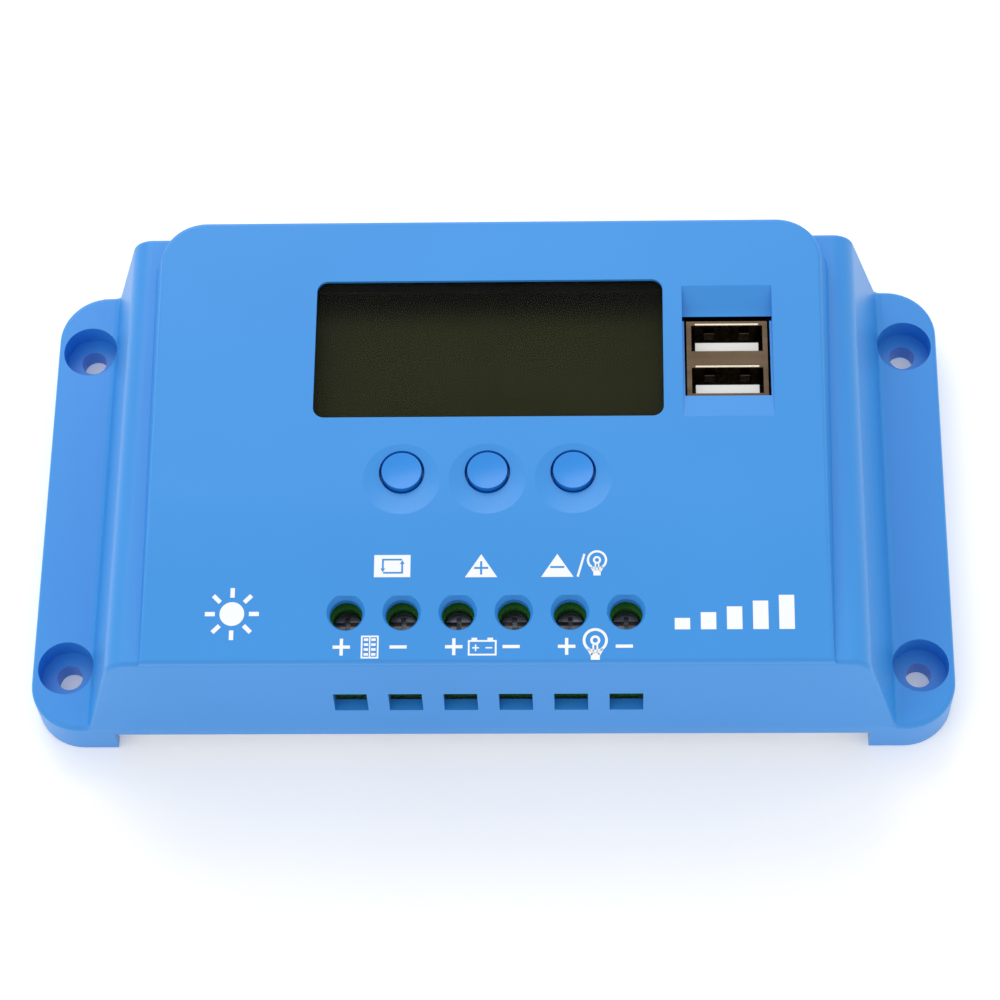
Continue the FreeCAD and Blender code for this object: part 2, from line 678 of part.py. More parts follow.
def chip(name, width, depth, tall, x, y):
    """A moulded chip with gull-wing legs on its two long sides."""
    case = box(name + "Case", width, depth, main_top + 0.15, main_top + tall, x, y)
    legs = []
    count = int(width / 1.27)
    for side in (-1, 1):
        for index in range(count):
            along = x + 1.27 * (index - (count - 1) / 2)
            legs.append(box(f"{name}Leg{side + 1}{index}", 0.45, 1.2, main_top, main_top + 0.25, along,
                            y + side * (depth / 2 + 0.6)))
    return case, legs


chips = [chip("Controller", 14, 9, 2.2, 8, 24),
         chip("Regulator", 5, 4, 1.7, -2, 10),
         chip("Amplifier", 9, 4, 1.7, 16, 8),
         chip("Driver", 9, 4, 1.7, -22, 6),
         chip("Switcher", 5, 4, 1.7, 30, -2)]
node(group("ChipCases", *[case for case, legs in chips]), "chips")
node(group("ChipLegs", *[leg for case, legs in chips for leg in legs]), "chip_legs")


def shunt(name, x, y):
    """A current shunt: a metal strap standing in two legs."""
    strap = box(name + "Strap", 12, 1.6, main_top, main_top + 5, x, y)
    return cut(name, strap, box(name + "Gap", 9.6, 3, main_top - 1, main_top + 3.8, x, y))


node(group("Shunts", shunt("ShuntOne", -10, -18), shunt("ShuntTwo", 10, -18)), "current_shunts")
node(group("Diodes", *[box(f"Diode{i}", 7, 5.8, main_top, main_top + 2.4, x, -19)
                       for i, x in enumerate((-34, -24, 24, 34))]), "diodes")
small_places = [(-6 + 3.2 * column, 14 + 2.6 * row) for column in range(3) for row in range(2)]
small_places += [(22 + 3.2 * column, 14 + 2.6 * row) for column in range(3) for row in range(4)]
small_places += [(-30 + 3.2 * column, -6 + 2.6 * row) for column in range(5) for row in range(3)]
small_places += [(4 + 3.2 * column, -6 + 2.6 * row) for column in range(5) for row in range(3)]
node(group("SmallParts", *[box(f"Small{i}", 2, 1.25, main_top, main_top + 0.7, x, y)
                           for i, (x, y) in enumerate(small_places)]), "small_components")
node(box("Crystal", 11, 4.4, main_top, main_top + 3.5, 8, 33), "timing_crystal")


# ---------------------------------------------------------------- wire terminals

entry_low = dims.wire_low - 0.2
entry_high = entry_low + 5.9


def terminal_block():
    """The green housing: one cell a pole, open to the wire at the front and to a screwdriver on top."""
    middle = dims.pole_place
    front = middle - dims.block_depth / 2
    upright = box("BlockUpright", dims.block_width, dims.block_depth, main_top, dims.block_top, 0, middle)
    nose = box("BlockNose", dims.block_width, front + 1 - dims.nose_front, main_top, dims.nose_top, 0,
               (dims.nose_front + front + 1) / 2)
    blank = fuse("BlockBlank", upright, nose)
    gaps = 2 * dims.cell_gap
    tools = []
    for index, x in enumerate(pole_places()):
        tools.append(box(f"Cell{index}", dims.cage_wide + gaps, dims.cage_deep + gaps,
                         dims.cage_low - 0.4, dims.cell_top, x, middle))
        tools.append(box(f"Entry{index}", 6, dims.block_depth, entry_low, entry_high, x, front))
        tools.append(rod(f"LedgeHole{index}", dims.ledge_hole, 20, 32, x, middle))
        tools.append(rod(f"HeadWell{index}", dims.head_well, dims.cell_top + dims.ledge, 32, x, middle))
        tools.append(box(f"BarSlot{index}", dims.bar_wide + 0.3, dims.bar_rear - middle + 0.1,
                         dims.bar_low - 0.1, dims.bar_low + dims.bar_sheet + 0.1, x,
                         (dims.bar_rear + middle) / 2 + 0.05))
        tools.append(box(f"LegSlot{index}", dims.bar_wide + 0.3, dims.bar_sheet + 0.2, 9,
                         dims.bar_low + 0.2, x, dims.bar_rear - dims.bar_sheet / 2))
        tools.append(box(f"FrontNotch{index}", 0.8, 2.4, 9, dims.block_top + 1, x + dims.pole_pitch / 2,
                         dims.nose_front + 0.6))
    return cut("TerminalBlock", blank, *tools)


def contact_bar(index, x):
    """Tinned bar over the wire, with a tail down through the board."""
    length = dims.bar_rear - dims.bar_front
    top = box(f"BarTop{index}", dims.bar_wide, length, dims.bar_low, dims.bar_low + dims.bar_sheet, x,
              (dims.bar_rear + dims.bar_front) / 2)
    drop = box(f"BarDrop{index}", dims.bar_wide, dims.bar_sheet, main_top, dims.bar_low, x,
               dims.bar_rear - dims.bar_sheet / 2)
    legs = [rod(f"BarLeg{index}{side}", 1.1, dims.main_low - 1.2, main_top, x + along,
                dims.bar_rear - dims.bar_sheet / 2) for side, along in enumerate((-1.4, 1.4))]
    return fuse(f"ContactBar{index}", top, drop, *legs)


def clamp_screw(index, x):
    """The captive screw: it turns in place and its thread lifts the cage."""
    middle = dims.pole_place
    head = rod(f"ScrewHead{index}", dims.head_wide, dims.head_low, dims.head_high, x, middle)
    shank = rod(f"ScrewShank{index}", dims.shank_wide, dims.shank_low, dims.head_low, x, middle)
    slot_foot = dims.head_high - 0.8
    slot = box(f"ScrewSlot{index}", dims.head_wide + 1, dims.drive_slot, slot_foot, dims.head_high + 1, x, middle)
    cross = box(f"ScrewCross{index}", dims.drive_slot, 2.6, slot_foot, dims.head_high + 1, x, middle)
    return cut(f"ClampScrew{index}", fuse(f"ScrewBlank{index}", head, shank), slot, cross)


def wire_cage(index, x):
    """The steel cage that the screw lifts to pinch the wire against the bar."""
    middle = dims.pole_place
    blank = box(f"CageBlank{index}", dims.cage_wide, dims.cage_deep, dims.cage_low, dims.cage_top, x, middle)
    room = box(f"CageRoom{index}", dims.cage_wide - 2 * dims.cage_side, dims.cage_deep + 2,
               dims.cage_low + dims.cage_side, dims.cage_top - dims.cage_roof, x, middle)
    thread = rod(f"CageThread{index}", dims.thread_hole, 18, 28, x, middle)
    return cut(f"WireCage{index}", blank, room, thread)


node(terminal_block(), "terminal_block")
node(group("ContactBars", *[contact_bar(index, x) for index, x in enumerate(pole_places())]), "terminal_bars")
for index, x in enumerate(pole_places()):
    node(clamp_screw(index, x), f"terminal_screw_{index + 1}")
    node(wire_cage(index, x), f"wire_cage_{index + 1}")


# ---------------------------------------------------------------- display board, display and buttons

def panel_board():
    middle_x = (dims.panel_left + dims.panel_right) / 2
    middle_y = (dims.panel_front + dims.panel_rear) / 2
    blank = box("PanelBlank", dims.panel_right - dims.panel_left, dims.panel_rear - dims.panel_front,
                dims.panel_low, panel_top, middle_x, middle_y)
    tools = pin_holes("PanelHole", panel_screw_places(), 2.2, dims.panel_low, panel_top)
    tools += pin_holes("PanelLinkHole", link_places, 1.1, dims.panel_low, panel_top)
    tools += pin_holes("DisplayPinHole", display_pin_places, 0.8, dims.panel_low, panel_top)
    tools += pin_holes("SwitchLegHole", switch_leg_places, 1.0, dims.panel_low, panel_top)
    return cut("PanelBoard", blank, *tools)


def panel_screw(index, x, y):
    """A screw that comes up through the display board into a post of the cover."""
    head = rod(f"PanelScrewHead{index}", 3.6, dims.panel_low - 1.3, dims.panel_low, x, y)
    shank = rod(f"PanelScrewShank{index}", 1.6, dims.panel_low, dims.panel_low + 6, x, y)
    slot = box(f"PanelScrewSlot{index}", 5, 0.5, dims.panel_low - 2, dims.panel_low - 0.8, x, y)
    return cut(f"PanelScrew{index}", fuse(f"PanelScrewBody{index}", head, shank), slot)


node(panel_board(), "display_board")
node(group("PanelScrews", *[panel_screw(i, x, y) for i, (x, y) in enumerate(panel_screw_places())]),
     "display_board_screws")

glass_low = panel_top + dims.light_sheet
glass_top = glass_low + dims.glass_sheet


def display_frame():
    """The moulded frame that holds the glass on its light guide."""
    wide = dims.glass_width + 0.4
    deep = dims.glass_depth + 0.4
    blank = box("FrameBlank", wide + 2 * dims.frame_wall, deep + 2 * dims.frame_wall, panel_top,
                glass_top + dims.frame_lip + 0.1, 0, dims.view_place)
    room = box("FrameRoom", wide, deep, panel_top - 1, glass_top + 0.1, 0, dims.view_place)
    sight = box("FrameSight", dims.view_width + 0.6, dims.view_depth + 0.6, 20, 40, 0, dims.view_place)
    return cut("DisplayFrame", blank, room, sight)


node(lens_slab("DisplayLens", dims.lens_width, dims.lens_depth, dims.lens_lip + 0.02 + dims.lens_sheet,
               dims.lens_sheet), "display_lens")
node(display_frame(), "display_frame")
node(box("DisplayGlass", dims.glass_width, dims.glass_depth, glass_low, glass_top, 0, dims.view_place),
     "display_glass")
node(box("LightGuide", dims.glass_width - 2, dims.glass_depth - 2, panel_top, glass_low, 0, dims.view_place),
     "display_backlight")
pin_row = [box(f"DisplayPin{index}", 0.5, 0.3, dims.panel_low - 1, glass_low, x, y)
           for index, (x, y) in enumerate(display_pin_places)]
node(group("DisplayPins", *pin_row), "display_pins")


def button_cap(index, x):
    """A push cap with a skirt under the plate and a stem on the switch; its top is slightly dished."""
    y = dims.button_place
    crown = rod(f"Crown{index}", dims.button_wide, dims.skirt_high, dims.button_top, x, y)
    skirt = rod(f"Skirt{index}", dims.button_skirt, dims.skirt_low, dims.skirt_high, x, y)
    stem = rod(f"Stem{index}", dims.stem_wide, dims.plunger_top, dims.skirt_low, x, y)
    ball = doc.addObject("Part::Sphere", f"CapDish{index}")
    bind(ball, Radius=15)
    at(ball, x, y, dims.button_top + 15 - dims.button_dish)
    return cut(f"ButtonCap{index}", fuse(f"CapBlank{index}", crown, skirt, stem), ball)


def switch_case(index, x):
    blank = box(f"CaseBlank{index}", dims.switch_side, dims.switch_side, panel_top,
                panel_top + dims.switch_case, x, dims.button_place)
    well = rod(f"CaseWell{index}", 4.9, panel_top + 0.8, 40, x, dims.button_place)
    return cut(f"SwitchCase{index}", blank, well)


def switch_lid(index, x):
    low = panel_top + dims.switch_case
    blank = box(f"LidBlank{index}", dims.switch_side, dims.switch_side, low, low + dims.switch_lid, x,
                dims.button_place)
    hole = rod(f"LidHole{index}", dims.plunger_hole, 20, 40, x, dims.button_place)
    return cut(f"SwitchLid{index}", blank, hole)


def plunger(index, x):
    """The switch's own plunger, held under the lid by its collar."""
    y = dims.button_place
    post = rod(f"PlungerPost{index}", dims.plunger_wide, dims.plunger_foot, dims.plunger_top, x, y)
    collar = rod(f"PlungerCollar{index}", 4.2, dims.plunger_foot, dims.plunger_foot + 1.2, x, y)
    return fuse(f"Plunger{index}", post, collar)


def snap_dome(index, x):
    """The domed spring that clicks under the plunger."""
    wide = 4.0
    low = panel_top + 0.8
    dome = cone(f"DomeSkin{index}", wide, 1.6, low, low + 0.6, x, dims.button_place)
    return cut(f"Dome{index}", dome, cone(f"DomeRoom{index}", wide - 0.4, 1.2, low - 0.05, low + 0.45, x,
                                          dims.button_place))


for index, (x, name) in enumerate(zip(button_places(), ("menu_button", "plus_button", "minus_button"))):
    node(button_cap(index, x), name)
    node(plunger(index, x), f"switch_plunger_{index + 1}")
node(group("SwitchCases", *[switch_case(i, x) for i, x in enumerate(button_places())]), "switch_cases")
node(group("SwitchLids", *[switch_lid(i, x) for i, x in enumerate(button_places())]), "switch_lids")
node(group("SwitchDomes", *[snap_dome(i, x) for i, x in enumerate(button_places())]), "switch_domes")
node(group("SwitchLegs", *[box(f"SwitchLeg{index}", 0.3, 0.7, dims.panel_low - 1.2, panel_top + 1.5, x, y)
                           for index, (x, y) in enumerate(switch_leg_places)]), "switch_legs")


def header(name, places, high):
    """Square pins that come up through the main board to another board."""
    return [box(f"{name}{index}", 0.64, 0.64, dims.main_low - 1, high, x, y)
            for index, (x, y) in enumerate(places)]


node(group("BoardLink", *header("LinkPin", link_places, panel_top + 1)), "board_link_pins")


# ---------------------------------------------------------------- USB sockets

shell_low = usb_top
port_middles = [dims.usb_along + dims.port_pitch / 2, dims.usb_along - dims.port_pitch / 2]


def usb_shell():
    """One folded steel shell round both sockets, with lips at the mouth and a web between."""
    x = dims.usb_across
    wide = dims.port_wide + 2 * dims.shell_sheet
    deep = dims.port_pitch + dims.port_deep + 2 * dims.shell_sheet
    blank = box("ShellBlank", wide, deep, shell_low, dims.usb_mouth, x, dims.usb_along)
    lips = box("ShellLips", wide + 1.0, deep + 1.0, dims.usb_mouth - 0.4, dims.usb_mouth, x, dims.usb_along)
    rooms = [box(f"PortRoom{index}", dims.port_wide, dims.port_deep, shell_low - 1, 40, x, y)
             for index, y in enumerate(port_middles)]
    web_gap = dims.port_pitch - dims.port_deep - 2 * dims.shell_sheet
    rooms.append(box("WebRoom", dims.port_wide, web_gap, shell_low - 1, dims.usb_mouth - 0.5, x,
                     dims.usb_along))
    return cut("UsbShell", fuse("ShellWithLips", blank, lips), *rooms)


def usb_insulator():
    """The moulded base that fills the back of both sockets and carries the two tongues."""
    x = dims.usb_across
    floor = dims.usb_mouth - dims.port_length
    pieces = []
    for index, y in enumerate(port_middles):
        base = box(f"PortBase{index}", dims.port_wide - 0.1, dims.port_deep - 0.1, usb_top, floor, x, y)
        tongue = box(f"Tongue{index}", dims.tongue_wide, dims.tongue_sheet, floor, dims.tongue_tip, x,
                     y - dims.port_deep / 2 + dims.tongue_sheet / 2 + 0.45)
        pieces.append(fuse(f"Insulator{index}", base, tongue))
    return group("UsbInsulator", *pieces)


def usb_contacts():
    x = dims.usb_across
    floor = dims.usb_mouth - dims.port_length
    strips = []
    for socket, y in enumerate(port_middles):
        face = y - dims.port_deep / 2 + dims.tongue_sheet + 0.45
        for pin, along in enumerate((-3.5, -1.0, 1.0, 3.5)):
            strips.append(box(f"Contact{socket}{pin}", 1.0, 0.25, floor, dims.tongue_tip - 0.8, x + along,
                              face + 0.125))
    return group("UsbContacts", *strips)


node(usb_shell(), "usb_shell")
node(usb_insulator(), "usb_tongues")
node(usb_contacts(), "usb_contacts")
usb_blank = box("UsbBlank", 18, 21, dims.usb_low, usb_top, dims.usb_across + 0.4, dims.usb_along)
usb_holes = pin_holes("UsbBoardHole", usb_link_places, 1.1, dims.usb_low, usb_top)
node(cut("UsbBoard", usb_blank, *usb_holes), "usb_board")
node(group("UsbLink", *header("UsbPin", usb_link_places, usb_top + 1)), "usb_link_pins")
doc.recompute()


# ---------------------------------------------------------------- checks and files

def check_and_write():
    doc.recompute()
    for thing in doc.Objects:
        if {"Invalid", "Error"} & set(thing.State):
            raise RuntimeError(f"{thing.Name} did not compute: {thing.State}")
    for thing in nodes:
        if thing.Shape.isNull() or not thing.Shape.isValid():
            raise RuntimeError(f"{thing.Label} has no valid shape")
    for thing in nodes:
        thing.Shape.exportStep(f"parts/{thing.Label}.step")
        extent = thing.Shape.optimalBoundingBox(True, False)
        print(f"{thing.Label:24s} solids {len(thing.Shape.Solids):3d}  volume {thing.Shape.Volume:9.1f}  "
              f"x {extent.XMin:7.2f} {extent.XMax:7.2f}  y {extent.YMin:7.2f} {extent.YMax:7.2f}  "
              f"z {extent.ZMin:6.2f} {extent.ZMax:6.2f}")
    print(len(nodes), "nodes")


check_and_write()
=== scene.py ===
"""Looks for the solar charge controller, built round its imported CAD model. Lengths are metres, in the
part's frame: +X along the terminals, +Y away from them, +Z out of the face."""

import math

import bpy
from mathutils import Matrix, Quaternion, Vector


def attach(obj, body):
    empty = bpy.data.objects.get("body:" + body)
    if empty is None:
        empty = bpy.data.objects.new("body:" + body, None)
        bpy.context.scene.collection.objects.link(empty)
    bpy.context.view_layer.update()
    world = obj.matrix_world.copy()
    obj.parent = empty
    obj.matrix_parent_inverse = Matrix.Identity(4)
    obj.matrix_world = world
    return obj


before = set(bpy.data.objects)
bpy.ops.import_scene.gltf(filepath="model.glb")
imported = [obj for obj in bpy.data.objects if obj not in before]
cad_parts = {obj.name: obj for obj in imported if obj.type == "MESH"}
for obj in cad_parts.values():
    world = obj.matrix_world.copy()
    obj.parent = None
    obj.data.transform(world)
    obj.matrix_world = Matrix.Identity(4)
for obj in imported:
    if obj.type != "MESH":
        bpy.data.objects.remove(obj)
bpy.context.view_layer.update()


# ---------------------------------------------------------------- base pan, pad and clamp
# The back of the case is a folded aluminium pan that carries the heat away. A silicone pad lies on it
# under the power transistors, and a bar on two posts presses them down.
mm = 0.001

def link(tree, source, target):
    tree.links.new(source, target)


def new_group(name, inputs, outputs):
    """An empty shader group with named sockets; returns it with its input and output nodes."""
    group = bpy.data.node_groups.new(name, "ShaderNodeTree")
    kinds = {"value": "NodeSocketFloat", "colour": "NodeSocketColor", "vector": "NodeSocketVector"}
    for socket, kind in inputs.items():
        group.interface.new_socket(socket, in_out="INPUT", socket_type=kinds[kind])
    for socket, kind in outputs.items():
        group.interface.new_socket(socket, in_out="OUTPUT", socket_type=kinds[kind])
    return group, group.nodes.new("NodeGroupInput"), group.nodes.new("NodeGroupOutput")


def metal_group():
    """Rolled or plated metal: fine streaks along X, dull patches and a little relief."""
    group, given, out = new_group(
        "rolled_metal",
        {"Light": "colour", "Dark": "colour", "Streaks": "value", "Patches": "value", "Dull": "value"},
        {"Color": "colour", "Roughness": "value", "Normal": "vector"})
    place = group.nodes.new("ShaderNodeTexCoord")
    stretch = group.nodes.new("ShaderNodeMapping")
    stretch.inputs["Scale"].default_value = (0.06, 1.0, 1.0)
    link(group, place.outputs["Object"], stretch.inputs["Vector"])
    streak = group.nodes.new("ShaderNodeTexNoise")
    streak.inputs["Detail"].default_value = 4.0
    link(group, stretch.outputs["Vector"], streak.inputs["Vector"])
    link(group, given.outputs["Streaks"], streak.inputs["Scale"])
    patch = group.nodes.new("ShaderNodeTexNoise")
    patch.inputs["Detail"].default_value = 3.0
    link(group, place.outputs["Object"], patch.inputs["Vector"])
    link(group, given.outputs["Patches"], patch.inputs["Scale"])
    both = group.nodes.new("ShaderNodeMath")
    both.operation = "MULTIPLY"
    link(group, streak.outputs["Fac"], both.inputs[0])
    link(group, patch.outputs["Fac"], both.inputs[1])
    spread = group.nodes.new("ShaderNodeMapRange")
    spread.inputs["From Min"].default_value = 0.1
    spread.inputs["From Max"].default_value = 0.42
    link(group, both.outputs[0], spread.inputs["Value"])
    tint = group.nodes.new("ShaderNodeMix")
    tint.data_type = "RGBA"
    link(group, spread.outputs["Result"], tint.inputs["Factor"])
    link(group, given.outputs["Dark"], tint.inputs["A"])
    link(group, given.outputs["Light"], tint.inputs["B"])
    link(group, tint.outputs["Result"], out.inputs["Color"])
    rough = group.nodes.new("ShaderNodeMath")
    rough.operation = "MULTIPLY_ADD"
    rough.inputs[1].default_value = -0.15
    link(group, spread.outputs["Result"], rough.inputs[0])
    link(group, given.outputs["Dull"], rough.inputs[2])
    link(group, rough.outputs[0], out.inputs["Roughness"])
    relief = group.nodes.new("ShaderNodeBump")
    relief.inputs["Strength"].default_value = 0.15
    relief.inputs["Distance"].default_value = 0.02 * mm
    link(group, streak.outputs["Fac"], relief.inputs["Height"])
    link(group, relief.outputs["Normal"], out.inputs["Normal"])
    return group


def moulding_group():
    """Moulded plastic: a fine satin grain and faint flow shading."""
    group, given, out = new_group(
        "moulded_plastic",
        {"Colour": "colour", "Shade": "colour", "Grain": "value", "Relief": "value", "Dull": "value"},
        {"Color": "colour", "Roughness": "value", "Normal": "vector"})
    place = group.nodes.new("ShaderNodeTexCoord")
    flow = group.nodes.new("ShaderNodeTexNoise")
    flow.inputs["Scale"].default_value = 22.0
    flow.inputs["Detail"].default_value = 3.0
    link(group, place.outputs["Object"], flow.inputs["Vector"])
    grain = group.nodes.new("ShaderNodeTexNoise")
    grain.inputs["Detail"].default_value = 2.0
    link(group, place.outputs["Object"], grain.inputs["Vector"])
    link(group, given.outputs["Grain"], grain.inputs["Scale"])
    spread = group.nodes.new("ShaderNodeMapRange")
    spread.inputs["From Min"].default_value = 0.3
    spread.inputs["From Max"].default_value = 0.7
    link(group, flow.outputs["Fac"], spread.inputs["Value"])
    tint = group.nodes.new("ShaderNodeMix")
    tint.data_type = "RGBA"
    link(group, spread.outputs["Result"], tint.inputs["Factor"])
    link(group, given.outputs["Shade"], tint.inputs["A"])
    link(group, given.outputs["Colour"], tint.inputs["B"])
    link(group, tint.outputs["Result"], out.inputs["Color"])
    rough = group.nodes.new("ShaderNodeMath")
    rough.operation = "MULTIPLY_ADD"
    rough.inputs[1].default_value = 0.08
    link(group, grain.outputs["Fac"], rough.inputs[0])
    link(group, given.outputs["Dull"], rough.inputs[2])
    link(group, rough.outputs[0], out.inputs["Roughness"])
    relief = group.nodes.new("ShaderNodeBump")
    relief.inputs["Distance"].default_value = 0.01 * mm
    link(group, given.outputs["Relief"], relief.inputs["Strength"])
    link(group, grain.outputs["Fac"], relief.inputs["Height"])
    link(group, relief.outputs["Normal"], out.inputs["Normal"])
    return group


rolled_metal = metal_group()
moulded_plastic = moulding_group()


def surface(name, group, values, **shader_values):
    """A material with colour, roughness and normal from a shared group; the rest is set on the shader."""
    material = bpy.data.materials.new(name)
    material.use_nodes = True
    tree = material.node_tree
    shader = tree.nodes["Principled BSDF"]
    effect = tree.nodes.new("ShaderNodeGroup")
    effect.node_tree = group
    effect.location = (-300, 0)
    for socket, value in values.items():
        effect.inputs[socket].default_value = value
    link(tree, effect.outputs["Color"], shader.inputs["Base Color"])
    link(tree, effect.outputs["Roughness"], shader.inputs["Roughness"])
    link(tree, effect.outputs["Normal"], shader.inputs["Normal"])
    for socket, value in shader_values.items():
        shader.inputs[socket.replace("_", " ")].default_value = value
    return material


def metal(name, light, dark, dull, streaks=900.0, patches=160.0):
    return surface(name, rolled_metal, {"Light": (*light, 1), "Dark": (*dark, 1), "Streaks": streaks,
                                        "Patches": patches, "Dull": dull}, Metallic=1.0)


def plastic(name, colour, shade, dull, grain=2600.0, relief=0.3, **shader_values):
    return surface(name, moulded_plastic, {"Colour": (*colour, 1), "Shade": (*shade, 1), "Grain": grain,
                                           "Relief": relief, "Dull": dull}, **shader_values)


def dress(material, *names):
    """Give CAD nodes a material in every slot."""
    for name in names:
        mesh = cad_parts[name].data
        for index in range(len(mesh.materials)):
            mesh.materials[index] = material


dress(metal("pan_sheet", (0.80, 0.81, 0.82), (0.60, 0.61, 0.63), 0.42), "base_pan")
dress(metal("bar_stock", (0.72, 0.73, 0.74), (0.50, 0.51, 0.53), 0.45), "clamp_bar", "clamp_posts")
dress(plastic("silicone_pad", (0.42, 0.50, 0.55), (0.36, 0.44, 0.50), 0.75, 1500.0, 0.5), "thermal_pad")
dress(metal("zinc_screw", (0.70, 0.70, 0.72), (0.42, 0.42, 0.44), 0.38),
      "cover_screws", "main_board_screws", "display_board_screws")


# ---------------------------------------------------------------- boards
# The main board, the display board and the USB board are glass laminate with green solder mask over
# copper tracks. Brass studs hold the main board off the pan, and gold-plated pins join the boards.

def board_material():
    """Solder mask with tracks showing through as a lighter pattern."""
    material = bpy.data.materials.new("solder_mask")
    material.use_nodes = True
    tree = material.node_tree
    shader = tree.nodes["Principled BSDF"]
    place = tree.nodes.new("ShaderNodeTexCoord")
    tracks = tree.nodes.new("ShaderNodeTexBrick")
    tracks.inputs["Scale"].default_value = 160.0
    tracks.inputs["Mortar Size"].default_value = 0.03
    tracks.inputs["Color1"].default_value = (0.010, 0.090, 0.035, 1)
    tracks.inputs["Color2"].default_value = (0.016, 0.130, 0.050, 1)
    tracks.inputs["Mortar"].default_value = (0.006, 0.055, 0.022, 1)
    link(tree, place.outputs["Object"], tracks.inputs["Vector"])
    link(tree, tracks.outputs["Color"], shader.inputs["Base Color"])
    weave = tree.nodes.new("ShaderNodeTexNoise")
    weave.inputs["Scale"].default_value = 2400.0
    link(tree, place.outputs["Object"], weave.inputs["Vector"])
    relief = tree.nodes.new("ShaderNodeBump")
    relief.inputs["Strength"].default_value = 0.2
    relief.inputs["Distance"].default_value = 0.02 * mm
    link(tree, weave.outputs["Fac"], relief.inputs["Height"])
    link(tree, relief.outputs["Normal"], shader.inputs["Normal"])
    shader.inputs["Roughness"].default_value = 0.35
    return material


dress(board_material(), "main_board", "display_board", "usb_board")
dress(metal("brass_stud", (0.82, 0.66, 0.32), (0.55, 0.42, 0.20), 0.38), "board_studs")
dress(metal("gold_plate", (0.95, 0.74, 0.34), (0.72, 0.52, 0.22), 0.30), "board_link_pins", "usb_link_pins",
      "usb_contacts")


# ---------------------------------------------------------------- parts on the main board
# Moulded transistors and chips on tinned legs, electrolytic capacitors in shrunk sleeves, a ring choke
# wound with enamelled wire, metal shunts and small ceramic chips. All are soldered to the main board.
epoxy = plastic("epoxy_case", (0.020, 0.020, 0.022), (0.012, 0.012, 0.014), 0.55, 1800.0, 0.6)
tin = metal("bright_tin", (0.80, 0.80, 0.80), (0.55, 0.55, 0.56), 0.40)
dress(epoxy, "power_transistors", "chips", "diodes")
dress(tin, "transistor_tabs", "transistor_leads", "chip_legs", "current_shunts", "display_pins",
      "switch_legs")
dress(metal("can_top", (0.86, 0.87, 0.88), (0.64, 0.65, 0.67), 0.36), "capacitor_tops", "timing_crystal")
dress(plastic("sleeve", (0.030, 0.036, 0.060), (0.020, 0.024, 0.042), 0.30), "capacitor_sleeves")
dress(plastic("painted_ferrite", (0.72, 0.55, 0.10), (0.58, 0.43, 0.07), 0.50), "choke_core")
dress(metal("enamelled_copper", (0.72, 0.30, 0.12), (0.50, 0.18, 0.06), 0.32), "choke_winding")
dress(plastic("ceramic", (0.42, 0.33, 0.22), (0.30, 0.22, 0.14), 0.50), "small_components")


# ---------------------------------------------------------------- wire terminals
# A green nylon block stands on the front of the main board. In each of its six cells a slotted steel
# screw turns in place and lifts a steel cage that pinches the wire against a tin-plated bar.
dress(plastic("green_nylon", (0.040, 0.230, 0.030), (0.022, 0.150, 0.020), 0.24, 1400.0, 0.4),
      "terminal_block")
dress(metal("tinned_bar", (0.75, 0.75, 0.72), (0.52, 0.52, 0.50), 0.35), "terminal_bars")
dull_steel = metal("clamp_steel", (0.20, 0.20, 0.21), (0.04, 0.04, 0.045), 0.30, 1600.0, 700.0)
poles = range(1, 7)
dress(dull_steel, *[f"terminal_screw_{pole}" for pole in poles])
dress(dull_steel, *[f"wire_cage_{pole}" for pole in poles])


def soften(name, width, segments=2):
    """Break the sharp edges of a CAD node, so that they catch the light."""
    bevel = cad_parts[name].modifiers.new("broken_edges", "BEVEL")
    bevel.width = width
    bevel.segments = segments
    bevel.limit_method = "ANGLE"
    bevel.angle_limit = math.radians(50)


for pole in poles:
    soften(f"terminal_screw_{pole}", 0.16 * mm)


# ---------------------------------------------------------------- display
# The liquid crystal cell lies on a clear light block inside a black moulded frame. A smoked lens is glued
# under the cover's opening, so the unlit display looks dark olive.

def cell_material():
    """The unlit display: dark olive, darker towards the far edge where the frame shades it."""
    material = bpy.data.materials.new("liquid_crystal")
    material.use_nodes = True
    tree = material.node_tree
    shader = tree.nodes["Principled BSDF"]
    place = tree.nodes.new("ShaderNodeTexCoord")
    cloud = tree.nodes.new("ShaderNodeTexNoise")
    cloud.inputs["Scale"].default_value = 60.0
    link(tree, place.outputs["Object"], cloud.inputs["Vector"])
    tint = tree.nodes.new("ShaderNodeMix")
    tint.data_type = "RGBA"
    tint.inputs["A"].default_value = (0.030, 0.035, 0.006, 1)
    tint.inputs["B"].default_value = (0.042, 0.048, 0.009, 1)
    link(tree, cloud.outputs["Fac"], tint.inputs["Factor"])
    split = tree.nodes.new("ShaderNodeSeparateXYZ")
    link(tree, place.outputs["Object"], split.inputs["Vector"])
    shade = tree.nodes.new("ShaderNodeMapRange")
    shade.interpolation_type = "SMOOTHSTEP"
    shade.inputs["From Min"].default_value = 22.0 * mm
    shade.inputs["From Max"].default_value = 29.5 * mm
    link(tree, split.outputs["Y"], shade.inputs["Value"])
    edge = tree.nodes.new("ShaderNodeMix")
    edge.data_type = "RGBA"
    edge.inputs["B"].default_value = (0.003, 0.003, 0.002, 1)
    link(tree, shade.outputs["Result"], edge.inputs["Factor"])
    link(tree, tint.outputs["Result"], edge.inputs["A"])
    link(tree, edge.outputs["Result"], shader.inputs["Base Color"])
    shader.inputs["Roughness"].default_value = 0.5
    shader.inputs["Specular IOR Level"].default_value = 0.15
    return material


